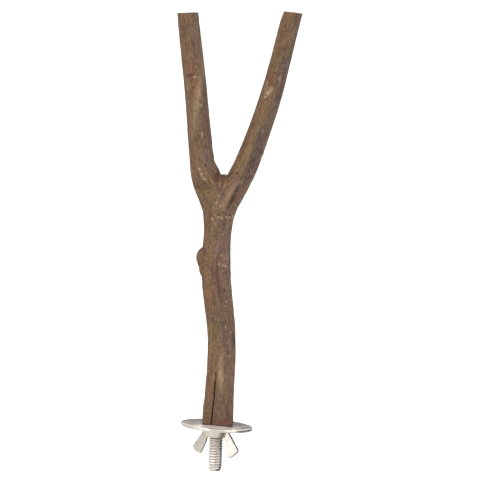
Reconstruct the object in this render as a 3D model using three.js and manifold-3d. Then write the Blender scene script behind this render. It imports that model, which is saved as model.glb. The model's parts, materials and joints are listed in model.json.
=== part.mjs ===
// A forked branch perch: a sawn length of natural branch that stands on a hanger bolt, with a wide
// washer and a wing nut below it. Millimetres, +Z up along the bolt. The origin is the centre of the
// branch's sawn foot, where the wires of a cage are clamped between the foot and the washer.
import * as THREE from 'three';
import { mergeVertices } from 'three/addons/utils/BufferGeometryUtils.js';
import Module from 'manifold-3d';

const wasm = await Module();
wasm.setup();

// ---- driving dimensions ----
const CLEARANCE = 0.3;          // between pieces that meet

const RING_STEP = 3.5;          // between the rings that the branch is lofted through
const BRANCH_SIDES = 24;
const FLATTENING = 0.95;        // a section's depth for its width

const THREAD_PITCH = 1.27;      // 1/4-20 thread
const BOLT_RADIUS = 3.175;
const BOLT_TIP_Z = -21.2;
const BOLT_TIP_RADIUS = 2.5;
const BOLT_TIP_CHAMFER = 1.4;
const LAG_RADIUS = 3.0;         // the wood-screw half, hidden in the foot
const LAG_TAPER_Z = 12.5;
const LAG_POINT_Z = 17;
const LAG_NECK_Z = 1.5;
const LAG_POINT_RADIUS = 0.4;

const WASHER_RADIUS = 16.6;
const WASHER_THICKNESS = 1.4;
const WASHER_HOLE_RADIUS = 3.7;
const WASHER_EDGE = 0.35;       // bevel of the rolled rim

const NUT_HUB_HEIGHT = 4.0;
const NUT_BASE_RADIUS = 5.8;
const NUT_NOSE_RADIUS = 5.0;
const NUT_EDGE = 0.6;
const NUT_BORE_RADIUS = BOLT_RADIUS + CLEARANCE;
const NUT_TURN = -25 * Math.PI / 180;   // how far round the wings stand from the X axis
const WING_THICKNESS = 1.9;
const ROUND_SIDES = 40;

const FULL_TURN = 2 * Math.PI;

// The branch's course: the centre of each section and its width. Its depth, front to back, is in
// proportion to the width unless it is given.
// The stem runs from the sawn foot to the fork.
const STEM = [
  { x: 0.5, y: 0.0, z: 0, width: 13.9 },
  { x: 0.5, y: 0.0, z: 6, width: 13.9 },
  { x: 0.7, y: 0.2, z: 13, width: 13.4 },
  { x: 0.95, y: 0.7, z: 24, width: 13.1 },
  { x: 0.95, y: 1.2, z: 35, width: 13.1 },
  { x: 0.1, y: 1.4, z: 46, width: 13.2 },
  { x: -1.7, y: 1.1, z: 58, width: 13.4 },
  { x: -3.1, y: 0.4, z: 69, width: 13.5 },
  { x: -3.4, y: -0.4, z: 80, width: 13.1 },
  { x: -3.3, y: -0.9, z: 90, width: 12.8 },
  { x: -3.1, y: -0.8, z: 97, width: 14.4 },
  { x: -2.7, y: -0.4, z: 102, width: 16.6, depth: 12.6 },
  { x: -2.4, y: -0.2, z: 106.5, width: 14.0, depth: 9.6 },
];

// Each limb starts inside the fork and runs to its sawn end.
const LEFT_LIMB = [
  { x: -3.6, y: -0.4, z: 94, width: 9.4 },
  { x: -6.9, y: 0.2, z: 105, width: 11.2 },
  { x: -10.2, y: 0.8, z: 114, width: 12.3 },
  { x: -11.7, y: 1.3, z: 122.5, width: 12.0 },
  { x: -12.8, y: 1.8, z: 129, width: 11.1 },
  { x: -14.4, y: 2.4, z: 141, width: 10.5 },
  { x: -16.4, y: 3.1, z: 157, width: 10.3 },
  { x: -18.3, y: 4.0, z: 170, width: 10.2 },
  { x: -20.0, y: 4.8, z: 181, width: 10.1 },
  { x: -21.6, y: 5.6, z: 192.5, width: 9.7 },
];
const RIGHT_LIMB = [
  { x: -3.2, y: -0.6, z: 94, width: 8.8 },
  { x: 1.5, y: -1.0, z: 105, width: 11.0 },
  { x: 5.9, y: -1.3, z: 115, width: 11.6 },
  { x: 9.4, y: -1.5, z: 123.5, width: 11.2 },
  { x: 11.9, y: -1.7, z: 130.5, width: 10.6 },
  { x: 15.5, y: -2.1, z: 142, width: 10.2 },
  { x: 18.7, y: -2.6, z: 153.5, width: 10.0 },
  { x: 21.3, y: -3.0, z: 164.5, width: 9.5 },
  { x: 24.7, y: -3.4, z: 181, width: 9.3 },
  { x: 27.6, y: -3.6, z: 195, width: 9.1 },
];

// Where each limb is parted from the stem, as a share of its course.
const LEFT_PARTING = 3.25 / 9;
const RIGHT_PARTING = 3.35 / 9;
const LIMB_START = 0.3 / 9;

// The sawn tops: a point on each cut, and how far the cut leans from level about the Y axis.
const LEFT_CUT = { x: -21.2, z: 189.9, lean: -4.7 * Math.PI / 180 };
const RIGHT_CUT = { x: 27.3, z: 192.3, lean: 4.1 * Math.PI / 180 };
const SAW_BLOCK = 40;

// Egg shapes: the web that fills the crotch, the knee inside the left limb, and the burl with its root.
const CROTCH = { centre: [-1.1, -0.2, 107.3], radii: [7.8, 6.0, 9.0] };
const KNEE = { centre: [-8.0, 0.3, 113.0], radii: [5.2, 4.4, 11.0] };
const BURL = { centre: [-7.6, 0.0, 76.6], radii: [5.2, 4.6, 6.4] };
const BURL_ROOT = { centre: [-6.0, 0.0, 74.0], radii: [5.6, 5.8, 7.6] };

// A wing's outline, seen square on: distance from the bolt's axis, and depth below the nut's base.
const WING_OUTLINE = [
  [3.8, 0.4], [5.6, 0.4], [6.3, 1.3], [11.5, 8.7], [11.7, 9.6],
  [8.8, 12.3], [7.6, 12.2], [5.0, 6.6], [4.4, 3.6], [3.8, 3.6],
];

// ---- helpers ----
function toSolid(geometry) {
  const bare = geometry.clone();
  bare.deleteAttribute('normal');
  bare.deleteAttribute('uv');
  const merged = mergeVertices(bare, 1e-4);
  return new wasm.Manifold(new wasm.Mesh({
    numProp: 3,
    vertProperties: new Float32Array(merged.attributes.position.array),
    triVerts: new Uint32Array(merged.index.array),
  }));
}

function toMesh(name, solid, material) {
  const { vertProperties, triVerts } = solid.getMesh();
  const geometry = new THREE.BufferGeometry();
  geometry.setAttribute('position', new THREE.BufferAttribute(new Float32Array(vertProperties), 3));
  geometry.setIndex(new THREE.BufferAttribute(new Uint32Array(triVerts), 1));
  geometry.computeVertexNormals();
  const mesh = new THREE.Mesh(geometry, material);
  mesh.name = name;
  return mesh;
}

// A profile of [radius, z] points turned about the Z axis. The profile runs upwards.
function turned(profile) {
  const points = profile.map(([radius, z]) => new THREE.Vector2(radius, z));
  return new THREE.LatheGeometry(points, ROUND_SIDES).rotateX(Math.PI / 2);
}

function egg({ centre, radii }) {
  return new THREE.SphereGeometry(1, 28, 18).scale(...radii).translate(...centre);
}

// A length of branch: a cylinder whose rings are moved onto the branch's course and swelled to its
// girth. from and to are shares of the course.
function lofted(stations, from, to) {
  const centre = new THREE.CatmullRomCurve3(
    stations.map(({ x, y, z }) => new THREE.Vector3(x, y, z)), false, 'catmullrom', 0.5);
  const girth = new THREE.CatmullRomCurve3(
    stations.map(({ width, depth = width * FLATTENING }) => new THREE.Vector3(width / 2, depth / 2, 0)),
    false, 'catmullrom', 0.5);
  const length = centre.getLength() * (to - from);
  const geometry = new THREE.CylinderGeometry(1, 1, 1, BRANCH_SIDES, Math.ceil(length / RING_STEP));
  const position = geometry.attributes.position;
  const vertex = new THREE.Vector3();
  for (let i = 0; i < position.count; i++) {
    vertex.fromBufferAttribute(position, i);
    const share = THREE.MathUtils.lerp(from, to, vertex.y + 0.5);
    const along = centre.getTangent(share);
    const across = new THREE.Vector3(along.z, 0, -along.x).normalize();
    const forward = across.clone().cross(along);
    const half = girth.getPoint(share);
    const placed = centre.getPoint(share)
      .addScaledVector(across, vertex.x * half.x)
      .addScaledVector(forward, vertex.z * half.y);
    position.setXYZ(i, placed.x, placed.y, placed.z);
  }
  return geometry;
}

// A block whose underside is the saw cut at the top of a limb.
function sawBlock({ x, z, lean }) {
  return new THREE.BoxGeometry(SAW_BLOCK, SAW_BLOCK, SAW_BLOCK)
    .translate(0, 0, SAW_BLOCK / 2)
    .rotateY(lean)
    .translate(x, 0, z);
}

// ---- the branch, parted at its fork ----
const bark = () => new THREE.MeshStandardMaterial({ color: 0x80644b, roughness: 0.82, metalness: 0 });
const zinc = () => new THREE.MeshStandardMaterial({ color: 0xd6d5d2, roughness: 0.3, metalness: 1 });

function makeStem() {
  const boreTop = LAG_POINT_Z + CLEARANCE;
  const boreRadius = BOLT_RADIUS + CLEARANCE;
  const bore = new THREE.CylinderGeometry(boreRadius, boreRadius, 2 * boreTop, ROUND_SIDES)
    .rotateX(Math.PI / 2);
  const solid = toSolid(lofted(STEM, 0, 1))
    .add(toSolid(lofted(LEFT_LIMB, LIMB_START, LEFT_PARTING)))
    .add(toSolid(lofted(RIGHT_LIMB, LIMB_START, RIGHT_PARTING)))
    .add(toSolid(egg(CROTCH)))
    .add(toSolid(egg(KNEE)))
    .add(toSolid(egg(BURL)))
    .add(toSolid(egg(BURL_ROOT)))
    .subtract(toSolid(bore));
  return toMesh('stem', solid, bark());
}

function makeLimb(name, stations, parting, cut) {
  const courseLength = stations.at(-1).z - stations[0].z;
  const from = parting + CLEARANCE / courseLength;
  const solid = toSolid(lofted(stations, from, 1)).subtract(toSolid(sawBlock(cut)));
  return toMesh(name, solid, bark());
}

// ---- the fittings ----
function makeBolt() {
  const profile = [
    [0, BOLT_TIP_Z],
    [BOLT_TIP_RADIUS, BOLT_TIP_Z],
    [BOLT_RADIUS, BOLT_TIP_Z + BOLT_TIP_CHAMFER],
    [BOLT_RADIUS, LAG_NECK_Z - (BOLT_RADIUS - LAG_RADIUS)],
    [LAG_RADIUS, LAG_NECK_Z],
    [LAG_RADIUS, LAG_TAPER_Z],
    [LAG_POINT_RADIUS, LAG_POINT_Z],
    [0, LAG_POINT_Z],
  ];
  return toMesh('hanger_bolt', toSolid(turned(profile)), zinc());
}

function makeWasher() {
  const top = 0;
  const under = -WASHER_THICKNESS;
  const rim = WASHER_RADIUS;
  const profile = [
    [WASHER_HOLE_RADIUS, under],
    [rim - WASHER_EDGE, under],
    [rim, under + WASHER_EDGE],
    [rim, top - WASHER_EDGE],
    [rim - WASHER_EDGE, top],
    [WASHER_HOLE_RADIUS, top],
    [WASHER_HOLE_RADIUS, under],
  ];
  const washer = toMesh('washer', toSolid(turned(profile)), zinc());
  washer.position.z = -CLEARANCE;
  return washer;
}

// The nut hangs below its base plane, at z = 0 in its own frame.
function makeWingNut() {
  const hub = turned([
    [NUT_BORE_RADIUS, -NUT_HUB_HEIGHT],
    [NUT_NOSE_RADIUS - NUT_EDGE, -NUT_HUB_HEIGHT],
    [NUT_NOSE_RADIUS, -NUT_HUB_HEIGHT + NUT_EDGE],
    [NUT_BASE_RADIUS, -NUT_EDGE],
    [NUT_BASE_RADIUS - NUT_EDGE, 0],
    [NUT_BORE_RADIUS, 0],
    [NUT_BORE_RADIUS, -NUT_HUB_HEIGHT],
  ]);
  const outline = new THREE.Shape(WING_OUTLINE.map(([out, down]) => new THREE.Vector2(out, -down)));
  const wing = new THREE.ExtrudeGeometry(outline, { depth: WING_THICKNESS, bevelEnabled: false })
    .translate(0, 0, -WING_THICKNESS / 2)
    .rotateX(Math.PI / 2);
  const solid = toSolid(hub)
    .add(toSolid(wing))
    .add(toSolid(wing.clone().rotateZ(Math.PI)));
  const nut = toMesh('wing_nut', solid, zinc());
  nut.position.z = -2 * CLEARANCE - WASHER_THICKNESS;
  nut.rotation.z = NUT_TURN;
  return nut;
}

const perch = new THREE.Group();
perch.add(makeStem());
perch.add(makeLimb('left_limb', LEFT_LIMB, LEFT_PARTING, LEFT_CUT));
perch.add(makeLimb('right_limb', RIGHT_LIMB, RIGHT_PARTING, RIGHT_CUT));
perch.add(makeBolt(), makeWasher(), makeWingNut());

export default perch;
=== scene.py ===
"""Forked branch perch: peeled, weathered wood on a threaded stud with a wide washer and a wing nut."""

import json
import math

import bmesh
import bpy
import numpy as np
from mathutils import Matrix, Vector

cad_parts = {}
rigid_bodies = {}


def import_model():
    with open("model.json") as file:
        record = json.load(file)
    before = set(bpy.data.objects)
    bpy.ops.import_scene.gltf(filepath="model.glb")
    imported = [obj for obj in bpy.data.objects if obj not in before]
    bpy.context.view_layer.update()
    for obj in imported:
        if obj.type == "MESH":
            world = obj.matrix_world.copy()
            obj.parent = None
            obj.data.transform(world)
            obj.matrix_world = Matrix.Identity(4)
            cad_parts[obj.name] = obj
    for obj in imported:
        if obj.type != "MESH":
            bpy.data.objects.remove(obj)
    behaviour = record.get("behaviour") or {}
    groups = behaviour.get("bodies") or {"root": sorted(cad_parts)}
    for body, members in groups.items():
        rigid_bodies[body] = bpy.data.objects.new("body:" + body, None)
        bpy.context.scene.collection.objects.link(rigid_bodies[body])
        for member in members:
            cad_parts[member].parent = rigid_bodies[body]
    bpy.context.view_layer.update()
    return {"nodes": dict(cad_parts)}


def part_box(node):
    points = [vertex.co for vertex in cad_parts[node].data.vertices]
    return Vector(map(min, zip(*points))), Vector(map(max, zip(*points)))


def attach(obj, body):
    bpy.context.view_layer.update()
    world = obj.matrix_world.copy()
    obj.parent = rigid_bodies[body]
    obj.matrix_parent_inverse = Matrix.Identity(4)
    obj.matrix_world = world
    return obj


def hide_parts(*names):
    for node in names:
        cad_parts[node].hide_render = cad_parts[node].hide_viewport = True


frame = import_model()

MM = 0.001

# ---------------------------------------------------------------- sizes, in millimetres and degrees
SKIN_STEP = 0.297  # spacing of the points on the branch's skin
PLUMP = 0.09  # makes up for what smoothing takes off
FOOT_DROP = 0.3  # the foot sits on the washer
PLUG_RADIUS = 4.2  # closes the screw's hole inside the branch
PLUG_TOP = 19.5
LIMB_SINK = 1.3  # how far a limb's lower end is let into the stem before they are made one

FORK_LOW = 102.0  # the grain starts to part here
FORK_HIGH = 121.0  # and has parted here
CROTCH_Z = 116.0
CROTCH_X = -1.0
PARTING_LEAN = 4.0 / 74.0  # the line midway between the limbs
GRAIN_RADIUS = 6.0

BURL = (-88, 77.0)  # degrees round the stem, and height
SPLIT_BAND = ((-3.1, -6.9, -0.2), (-1.7, -7.0, 29.0))  # the strip of skin round the foot's split
SPLIT_BAND_REACH = 2.2

THREAD_PITCH = 1.27
THREAD_DEPTH = 0.44
THREAD_SWELL = 0.08  # the coat stands this proud of the plain size
THREAD_CREST = 0.26  # the crest's width and the root's, as shares of the pitch
THREAD_ROOT = 0.16
CREST_ROUND = 0.06
STUD_TOP = 0.4  # the thread is cut off here, inside the foot
TIP_LONGER = 0.45
TIP_FLAT_RADIUS = 2.45
TIP_NARROW_RADIUS = 2.3
TIP_SHOULDER_RADIUS = 2.75
TIP_CHAMFER = 1.5
TIP_FLAT_LENGTH = 0.9

WASHER_HOLE_RADIUS = 3.7
WASHER_EDGE = 0.45
WASHER_TOP = 0.26  # the height of its middle, where the foot beds on it
WASHER_TILT = 2.5  # down to the right
WASHER_NOD = 1.5  # down to the front
WASHER_DROOP = 0.3  # the rim lies this much lower than the middle
WASHER_WAVE = 0.035  # how far out of flat the pressing is
SEAT_GAP = 0.03  # the sawn foot reaches this far into the washer's face

NUT_STEP = 0.13
WING_START = 5.6  # the wings stand out of the hub past this distance
LEFT_WING_TWIST = 8.0
RIGHT_WING_TWIST = -6.0
WING_CORNERS = ((11.6, 9.1), (8.2, 12.2))  # out from the middle, and down from the nut's top
WING_SPREAD = 0.25  # the right wing is a little broader towards its tip
WING_MIDLINE = 4.33  # how far the wing's middle line lies along its broad way
WING_BROAD_WAY = (0.815, 0.579)  # across the wing's length: outwards and upwards
WING_DROP = 0.4  # and it hangs this much lower

FLOOR_Z = -0.25  # in metres, as are the lights, the flags and the camera
SKY_HORIZON = 0.5
SKY_OVERHEAD = 1.6

CAMERA_PLACE = (-0.00018, -2.0, 0.242)
CAMERA_TURN = 0.2122
CAMERA_PITCH = 4.457
CAMERA_ROLL = 2.4
LENS = 325.41

# Washes of colour on the front: across, up, half height, half width, colour as seen, strength.
PLAIN_WOOD = (123, 99, 79)
WASHES = (
    # left limb
    (-23.7, 182.0, 9.2, 1.4, (118, 98, 68), 0.60),
    (-18.3, 171.7, 7.4, 3.2, (129, 99, 86), 0.50),
    (-15.6, 156.6, 6.9, 1.2, (154, 116, 86), 0.75),
    (-13.2, 149.8, 2.3, 1.2, (140, 124, 98), 0.60),
    (-17.0, 145.5, 3.7, 1.5, (112, 96, 66), 0.70),
    (-13.4, 142.0, 4.2, 1.4, (131, 105, 90), 0.50),
    (-10.7, 144.4, 5.5, 0.8, (104, 77, 72), 0.60),
    (-17.9, 136.3, 4.6, 0.7, (138, 88, 64), 0.70),
    (-12.0, 131.4, 2.8, 4.2, (107, 90, 70), 0.70),
    (-15.4, 124.8, 2.8, 1.4, (127, 92, 77), 0.60),
    (-9.8, 122.8, 4.2, 2.3, (127, 107, 98), 0.70),
    (-10.9, 115.3, 3.2, 3.2, (129, 105, 82), 0.50),
    (-11.6, 110.2, 1.5, 3.7, (108, 88, 66), 0.50),
    # right limb
    (24.4, 191.0, 1.0, 1.4, (142, 106, 72), 0.70),
    (22.9, 187.7, 3.2, 0.9, (122, 101, 64), 0.60),
    (28.4, 187.9, 4.6, 2.3, (111, 89, 70), 0.60),
    (24.1, 181.3, 3.7, 1.4, (127, 86, 66), 0.60),
    (27.0, 177.7, 2.3, 1.4, (108, 96, 82), 0.60),
    (21.6, 175.2, 1.8, 0.8, (133, 88, 64), 0.60),
    (20.6, 171.0, 2.8, 1.4, (108, 95, 70), 0.60),
    (24.4, 173.9, 3.7, 1.8, (112, 96, 71), 0.50),
    (17.6, 166.8, 2.8, 0.9, (126, 92, 74), 0.60),
    (23.7, 164.7, 4.6, 1.8, (108, 85, 89), 0.80),
    (21.3, 166.9, 1.8, 0.9, (134, 99, 80), 0.60),
    (17.0, 160.8, 2.8, 1.2, (134, 72, 56), 0.90),
    (16.7, 155.2, 2.3, 1.4, (160, 146, 122), 0.60),
    (22.6, 157.8, 3.7, 1.4, (99, 89, 84), 0.70),
    (19.6, 152.1, 4.6, 1.8, (112, 90, 87), 0.60),
    (14.1, 146.8, 4.2, 1.5, (137, 98, 70), 0.70),
    (17.0, 148.3, 2.3, 1.2, (114, 98, 72), 0.60),
    (18.9, 141.0, 2.8, 0.9, (105, 89, 89), 0.60),
    (12.8, 139.8, 3.7, 1.0, (131, 111, 84), 0.60),
    (15.3, 134.4, 4.6, 2.1, (97, 84, 73), 0.75),
    (10.1, 131.9, 4.6, 1.2, (138, 116, 86), 0.70),
    (8.7, 126.3, 3.7, 1.2, (138, 115, 84), 0.70),
    (13.3, 126.0, 6.0, 1.8, (86, 75, 69), 0.85),
    (10.6, 120.4, 3.7, 1.4, (82, 68, 58), 0.70),
    (7.5, 117.5, 1.8, 2.1, (133, 112, 82), 0.60),
    (9.2, 114.3, 1.8, 2.3, (92, 74, 70), 0.70),
    # fork
    (-4.0, 115.1, 2.1, 1.4, (90, 50, 28), 0.80),
    (-2.4, 112.0, 2.3, 1.4, (142, 108, 80), 0.50),
    (6.4, 109.1, 2.8, 1.4, (118, 91, 83), 0.60),
    (0.5, 107.0, 3.7, 1.2, (148, 114, 92), 0.70),
    (-7.7, 104.4, 5.5, 2.1, (131, 109, 78), 0.50),
    (-2.9, 101.8, 2.3, 1.8, (142, 119, 90), 0.50),
    # stem
    (-8.4, 87.7, 2.8, 0.8, (137, 98, 84), 0.60),
    (-5.2, 89.2, 2.3, 2.1, (114, 100, 78), 0.60),
    (-1.5, 89.4, 2.8, 1.8, (118, 98, 86), 0.50),
    (-0.4, 84.3, 4.6, 2.3, (129, 98, 92), 0.60),
    (-10.2, 76.9, 3.2, 1.5, (134, 104, 78), 0.50),
    (-6.8, 78.5, 3.7, 1.8, (134, 110, 74), 0.60),
    (1.9, 73.7, 4.6, 1.5, (134, 100, 92), 0.70),
    (-7.1, 67.3, 6.9, 1.9, (144, 113, 76), 0.70),
    (-7.3, 61.3, 2.8, 1.0, (148, 100, 62), 0.70),
    (-2.7, 67.1, 6.5, 1.1, (111, 76, 69), 0.80),
    (1.8, 64.5, 6.5, 1.8, (113, 93, 89), 0.70),
    (0.1, 50.0, 3.0, 2.1, (104, 96, 74), 0.75),
    (-4.1, 52.6, 2.8, 1.8, (139, 107, 84), 0.50),
    (-3.5, 43.4, 3.2, 1.8, (139, 117, 74), 0.70),
    (-2.6, 36.9, 4.2, 2.3, (133, 108, 77), 0.60),
    (2.8, 41.3, 2.8, 1.5, (121, 91, 82), 0.60),
    (6.5, 40.5, 3.5, 0.9, (78, 72, 62), 0.75),
    (4.0, 34.8, 3.7, 2.1, (130, 105, 93), 0.50),
    (-3.2, 29.4, 3.2, 1.8, (144, 104, 83), 0.60),
    (-0.2, 24.4, 5.1, 1.4, (149, 126, 88), 0.75),
    (-3.7, 17.3, 5.5, 1.4, (135, 95, 76), 0.65),
    (1.3, 17.1, 4.2, 1.8, (129, 109, 78), 0.50),
    (4.5, 22.3, 4.2, 1.6, (120, 104, 84), 0.50),
    (-4.2, 10.3, 2.3, 1.8, (109, 88, 60), 0.70),
    (-4.5, 4.2, 2.8, 1.4, (135, 100, 72), 0.60),
    (2.3, 8.7, 2.8, 2.3, (111, 91, 68), 0.60),
    (5.9, 5.1, 2.8, 1.4, (99, 75, 72), 0.70),
    (4.2, 1.6, 1.0, 2.5, (152, 102, 84), 0.80),
    (0.6, 4.0, 2.3, 1.6, (139, 113, 76), 0.50),
)
# Pale nicks on the front of the stem and the fork: across, up.
NICKS = (
    (-0.6, 79.0),
    (2.0, 77.4),
    (1.2, 74.0),
    (-1.6, 74.6),
    (0.2, 74.3),
    (-6.6, 96.2),
    (-5.0, 97.4),
    (-3.4, 96.5),
    (-1.2, 96.2),
    (1.0, 96.9),
    (2.6, 96.4),
    (4.0, 97.5),
    (-4.6, 104.0),
    (-3.9, 106.2),
    (-12.2, 116.5),
    (-11.0, 114.0),
    (-13.4, 118.4),
)
# What the sides and back take their washes from.
WEATHERED_COLOURS = (
    (118, 98, 68),
    (129, 99, 86),
    (108, 88, 88),
    (144, 113, 76),
    (135, 95, 76),
    (97, 84, 73),
    (133, 108, 77),
    (111, 76, 69),
    (146, 124, 92),
)


# ---------------------------------------------------------------- hand tools
def put_down():
    """Nothing selected, object mode."""
    if bpy.context.object and bpy.context.object.mode != "OBJECT":
        bpy.ops.object.mode_set(mode="OBJECT")
    for piece in bpy.context.scene.objects:
        piece.select_set(False)


def pick(*pieces):
    put_down()
    for piece in pieces:
        piece.select_set(True)
    bpy.context.view_layer.objects.active = pieces[0]


def edit(piece):
    pick(piece)
    bpy.ops.object.mode_set(mode="EDIT")
    bpy.ops.mesh.select_all(action="DESELECT")


def done():
    bpy.ops.object.mode_set(mode="OBJECT")


def select_faces(piece, wanted):
    """In edit mode, selects the faces for which wanted(face) is true."""
    bpy.ops.mesh.select_mode(type="FACE")
    shape = bmesh.from_edit_mesh(piece.data)
    for face in shape.faces:
        face.select_set(bool(wanted(face)))
    shape.select_flush_mode()
    bmesh.update_edit_mesh(piece.data)


def finish_with(piece, kind, **settings):
    """Adds one modifier and applies it."""
    pick(piece)
    modifier = piece.modifiers.new(kind.lower(), kind)
    for name, value in settings.items():
        setattr(modifier, name, value)
    bpy.ops.object.modifier_apply(modifier=modifier.name)


def settle(piece):
    """Puts the piece's place in its mesh."""
    pick(piece)
    bpy.ops.object.transform_apply(location=True, rotation=True, scale=True)


def merged_copy(node, name):
    """A new piece with the CAD node's shape, its points merged."""
    piece = bpy.data.objects.new(name, frame["nodes"][node].data.copy())
    bpy.context.scene.collection.objects.link(piece)
    piece.data.materials.clear()
    edit(piece)
    bpy.ops.mesh.select_all(action="SELECT")
    bpy.ops.mesh.remove_doubles(threshold=0.002 * MM)
    bpy.ops.mesh.normals_make_consistent(inside=False)
    done()
    return piece


def push_end(piece, distance):
    """Moves the flat lower end of a piece outwards along its own normal."""
    edit(piece)
    select_faces(piece, lambda face: face.normal.z < -0.9)
    shape = bmesh.from_edit_mesh(piece.data)
    way = Vector((0, 0, 0))
    for face in shape.faces:
        if face.select:
            way += face.normal * face.calc_area()
    way = way.normalized() * distance * MM
    bpy.ops.transform.translate(value=way)
    done()


def points_of(piece):
    """The piece's points, in millimetres."""
    flat = np.zeros(len(piece.data.vertices) * 3)
    piece.data.vertices.foreach_get("co", flat)
    return flat.reshape(-1, 3) / MM


def normals_of(piece):
    flat = np.zeros(len(piece.data.vertices) * 3)
    piece.data.vertex_normals.foreach_get("vector", flat)
    return flat.reshape(-1, 3)


def move_points(piece, points):
    piece.data.vertices.foreach_set("co", (points * MM).ravel())
    piece.data.update()


def write_number(piece, name, values):
    layer = piece.data.attributes.new(name, "FLOAT", "POINT")
    layer.data.foreach_set("value", values.astype(np.float32))


def write_vector(piece, name, values):
    layer = piece.data.attributes.new(name, "FLOAT_VECTOR", "POINT")
    layer.data.foreach_set("vector", values.astype(np.float32).ravel())


# ---------------------------------------------------------------- soft random relief
def ease(low, high, value):
    """0 at low, 1 at high, with a smooth change between; low may be the larger."""
    t = np.clip((value - low) / (high - low), 0, 1)
    return t * t * (3 - 2 * t)


def soft_noise(points, seed):
    """Smooth random values from -1 to 1 that change over about one unit."""
    cell = np.floor(points).astype(np.int64)
    part = points - cell
    part = part * part * (3 - 2 * part)
    total = np.zeros(len(points))
    for corner in range(8):
        step = np.array([corner & 1, corner >> 1 & 1, corner >> 2 & 1])
        key = cell + step
        mixed = key[:, 0] * 73856093 ^ key[:, 1] * 19349663 ^ key[:, 2] * 83492791 ^ seed * 2654435
        mixed = (mixed ^ (mixed >> 13)) * 1274126177
        mixed = (mixed ^ (mixed >> 16)) & 65535
        share = np.prod(np.where(step == 1, part, 1 - part), axis=1)
        total += share * (mixed / 32767.5 - 1)
    return total


def drawn_out(grain, across, along, seed):
    """Random relief drawn out along the grain. across and along are bumps per millimetre."""
    return soft_noise(grain * np.array([across, across, along]) + 40.0, seed)


# ---------------------------------------------------------------- the branch
def branch_blank():
    """Stem and limbs as one solid with no gap at the fork and no screw hole."""
    stem = merged_copy("stem", "stem")
    left = merged_copy("left_limb", "left")
    right = merged_copy("right_limb", "right")
    push_end(stem, FOOT_DROP)
    push_end(left, LIMB_SINK)
    push_end(right, LIMB_SINK)
    put_down()
    bpy.ops.mesh.primitive_cylinder_add(
        vertices=48,
        radius=PLUG_RADIUS * MM,
        depth=(PLUG_TOP + FOOT_DROP) * MM,
        location=(0, 0, (PLUG_TOP - FOOT_DROP) / 2 * MM),
    )
    plug = bpy.context.object
    settle(plug)
    pick(stem, left, right, plug)
    bpy.ops.object.join()
    finish_with(stem, "REMESH", mode="VOXEL", voxel_size=SKIN_STEP * MM)
    finish_with(stem, "SMOOTH", factor=0.5, iterations=5)
    burl_root = ((-9.0, -5.0, 74.5, 5.5), (-9.0, 5.0, 74.5, 5.5), (-9.6, 0.0, 70.0, 3.0))
    burl_creases = [(-7.8, deep, up, 3.4) for up in (71.0, 74.0, 77.0, 80.0) for deep in (-4.8, 4.8)]
    limb_roots = ((-6.0, -3.0, 122.0, 5.0), (-6.0, 4.0, 122.0, 5.0), (5.0, 0.0, 121.0, 4.0))
    left_of_crotch = ((-4.6, 0.0, 120.5, 4.4), (-4.8, 3.0, 120.5, 4.0), (-4.8, -3.0, 120.5, 4.0))
    soften(stem, burl_root, 40)
    soften(stem, burl_creases, 150)
    soften(stem, limb_roots, 16)
    soften(stem, left_of_crotch, 70)
    return stem


def soften(piece, places, rounds):
    """Works the surface smooth round the given places: across, deep, up and reach."""
    points = points_of(piece)
    weight = np.zeros(len(points))
    for across, deep, up, reach in places:
        gap = np.linalg.norm(points - np.array([across, deep, up]), axis=1)
        weight = np.maximum(weight, ease(reach, reach * 0.5, gap))
    chosen = piece.vertex_groups.new(name="soften")
    for index in np.where(weight > 0.01)[0]:
        chosen.add([int(index)], float(weight[index]), "REPLACE")
    finish_with(piece, "SMOOTH", factor=0.5, iterations=rounds, vertex_group="soften")
    piece.vertex_groups.remove(piece.vertex_groups["soften"])


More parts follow.
